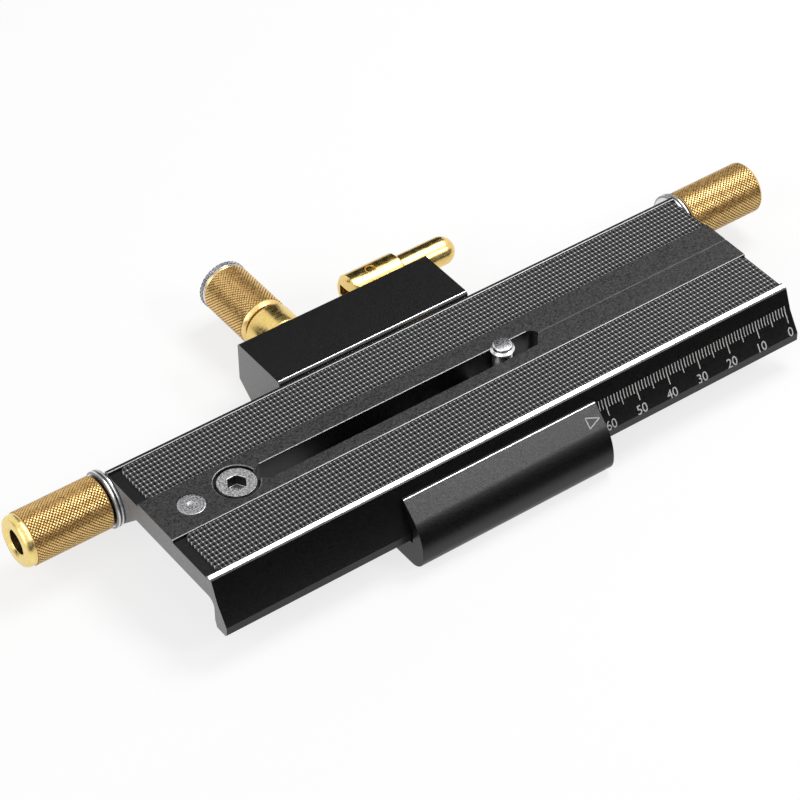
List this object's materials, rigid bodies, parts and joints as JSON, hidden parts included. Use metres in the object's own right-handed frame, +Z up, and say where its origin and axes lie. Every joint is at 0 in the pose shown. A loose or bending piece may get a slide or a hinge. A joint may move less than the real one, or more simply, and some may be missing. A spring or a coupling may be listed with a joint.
{
  "type": "macro focusing rail",
  "caption": "Camera focusing rail: long slotted plate on a short dovetail base, lead screw with end knobs, release lever and lock knob.",
  "frame": {"origin": "centre of the tripod thread's mouth, in the middle of the base's flat underside", "axes": "+X along the rail and its lead screw, +Y from the scale side to the lever and lock side, +Z up through the camera plate"},
  "size_m": [0.2346, 0.1117, 0.0255],
  "materials": {
    "black_anodised": "black anodised, satin",
    "brass_knurled": "knurled, bright",
    "brass_polished": "polished",
    "steel": "turned, bright",
    "grip_rubber": "waffled",
    "slide_plastic": "smooth"
  },
  "bodies": {
    "base": {"base_body": "black_anodised", "tripod_insert": "steel", "front_gib": "slide_plastic", "front_runner": "slide_plastic", "rear_runner": "slide_plastic", "half_nut_spring": "steel", "lock_bush": "brass_polished"},
    "plate": {"top_plate": "black_anodised", "front_grip_strip": "grip_rubber", "rear_grip_strip": "grip_rubber", "spare_screw": "steel", "plate_plug": "steel", "left_bush": "brass_polished", "right_bush": "brass_polished", "left_thrust_washer": "steel", "right_thrust_washer": "steel"},
    "lead_screw": {"lead_screw": "steel", "left_knob": "brass_knurled", "right_knob": "brass_knurled", "left_knob_washer": "steel", "right_knob_washer": "steel", "knob_screws": "steel"},
    "camera_washer": {"camera_screw_washer": "slide_plastic"},
    "camera_screw": {"camera_screw": "steel"},
    "half_nut": {"half_nut": "brass_polished", "pull_rod": "steel", "lever_pin": "brass_polished"},
    "release_lever": {"release_lever": "brass_polished"},
    "brake_pad": {"brake_pad": "brass_polished"},
    "lock_knob": {"lock_spindle": "steel", "lock_knob": "brass_knurled", "lock_knob_ring": "steel"}
  },
  "joints": [
    {"name": "plate_slide", "type": "slide", "parent": "base", "child": "plate", "axis": [1, 0, 0], "range_m": [-0.066, 0.0554]},
    {"name": "screw_turn", "type": "hinge", "parent": "plate", "child": "lead_screw", "pos_m": [0.0053, 0.0222, 0.0138], "axis": [1, 0, 0], "range_deg": [-23472, 19656]},
    {"name": "camera_slide", "type": "slide", "parent": "plate", "child": "camera_washer", "axis": [1, 0, 0], "range_m": [-0.0725, 0.0094]},
    {"name": "camera_screw_turn", "type": "hinge", "parent": "camera_washer", "child": "camera_screw", "pos_m": [0.0202, -0.00085, 0.0158], "axis": [0, 0, 1], "continuous": true},
    {"name": "half_nut_slide", "type": "slide", "parent": "base", "child": "half_nut", "axis": [0, 1, 0], "range_m": [0, 0.0022], "deforming": ["half_nut_spring"]},
    {"name": "lever_swing", "type": "hinge", "parent": "half_nut", "child": "release_lever", "pos_m": [0.0162, 0.052, 0.0118], "axis": [0, 0, 1], "range_deg": [0, 90]},
    {"name": "brake_slide", "type": "slide", "parent": "base", "child": "brake_pad", "axis": [0, -1, 0], "range_m": [0, 0.00082]},
    {"name": "lock_turn", "type": "hinge", "parent": "brake_pad", "child": "lock_knob", "pos_m": [-0.0153, 0.06, 0.0115], "axis": [0, -1, 0], "range_deg": [0, 270]}
  ],
  "couplings": [
    {"joint": "plate_slide", "follows": "screw_turn", "m_per_rad": 0.00015915},
    {"joint": "half_nut_slide", "follows": "lever_swing", "m_per_rad": 0.0013687},
    {"joint": "brake_slide", "follows": "lock_turn", "m_per_rad": 0.00015915}
  ]
}
